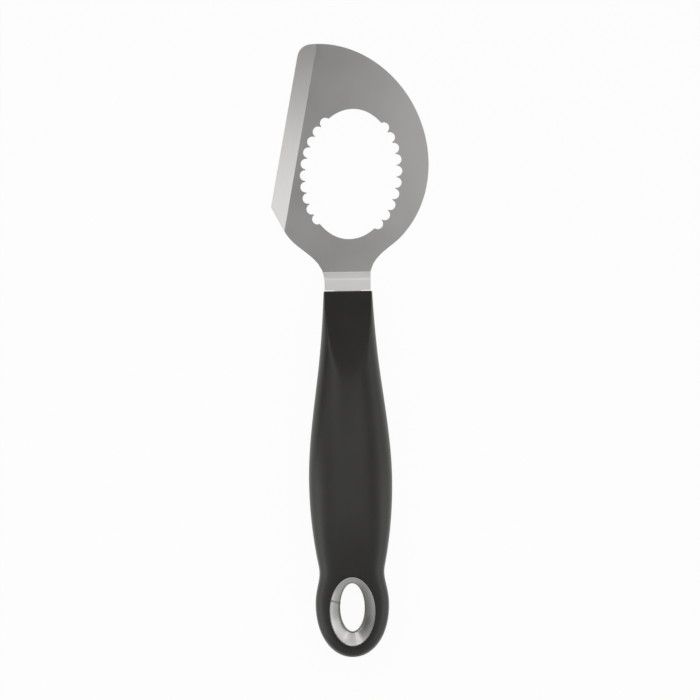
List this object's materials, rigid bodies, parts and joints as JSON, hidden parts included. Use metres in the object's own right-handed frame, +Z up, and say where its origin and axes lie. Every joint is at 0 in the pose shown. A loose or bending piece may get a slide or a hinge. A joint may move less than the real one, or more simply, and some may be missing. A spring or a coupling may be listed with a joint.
{
  "type": "avocado slicer",
  "caption": "Flat steel avocado slicer with a straight ground cutting edge, a rounded scooping edge and a toothed oval stone hole, on a soft black handle with a lined hanging hole.",
  "frame": {"origin": "on the handle's axis, at the underside of the blade, in the flat land between the stone hole and the neck bend", "axes": "+Y along the tool from the handle to the blade's tip, +Z up from the surface that it lies on, +X across it towards the rounded scooping edge"},
  "size_m": [0.0585, 0.2271, 0.019],
  "materials": {
    "steel": "satin rolled stainless steel with a ground bevel",
    "core": "plain moulded plastic, hidden inside",
    "grip": "matt black soft moulded grip",
    "ring": "bright satin metal"
  },
  "bodies": {
    "root": {"blade": "steel", "core_front": "core", "core_back": "core", "grip": "grip", "ring_front": "ring", "ring_back": "ring"}
  },
  "joints": []
}
